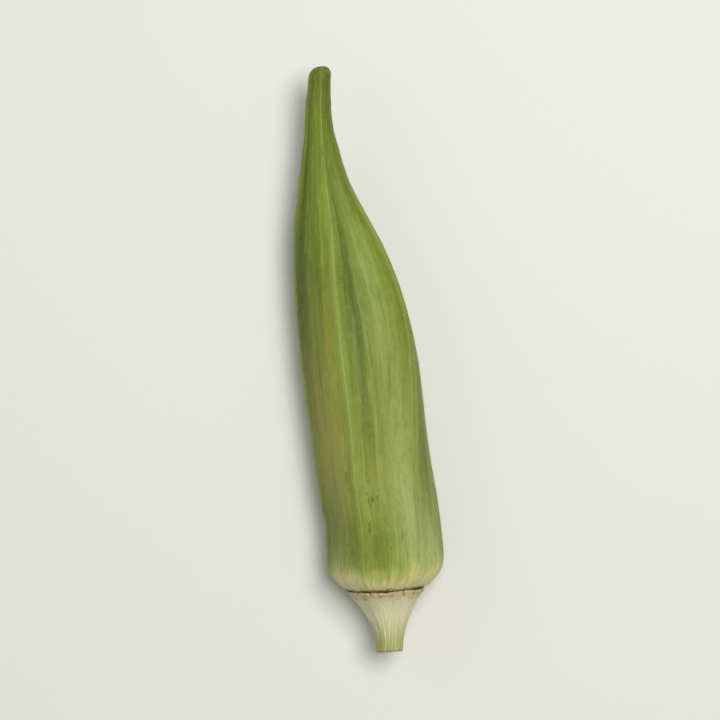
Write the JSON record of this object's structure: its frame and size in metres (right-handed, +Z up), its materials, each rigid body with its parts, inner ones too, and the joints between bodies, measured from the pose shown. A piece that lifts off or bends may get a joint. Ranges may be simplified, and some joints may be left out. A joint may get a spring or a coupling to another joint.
{
  "type": "okra pod",
  "caption": "Fresh green okra pod lying on its side: ribbed tapering capsule with a narrow blunt beak, and a pale stem cap with a short cut stalk.",
  "frame": {"origin": "under the middle of the whole pod, on the surface that it rests on", "axes": "+Z up, +Y along the pod from the stem to the tip, +X to the right when looking down on it with the tip up"},
  "size_m": [0.0238, 0.117, 0.0219],
  "materials": {
    "pod_skin": "satin, faintly downy fresh plant skin, mid green with lighter ribs",
    "stem_cap": "matte, fibrous, cream at the cap and yellow-green at the stalk"
  },
  "bodies": {
    "root": {"pod": "pod_skin", "stem_cap": "stem_cap"}
  },
  "joints": []
}
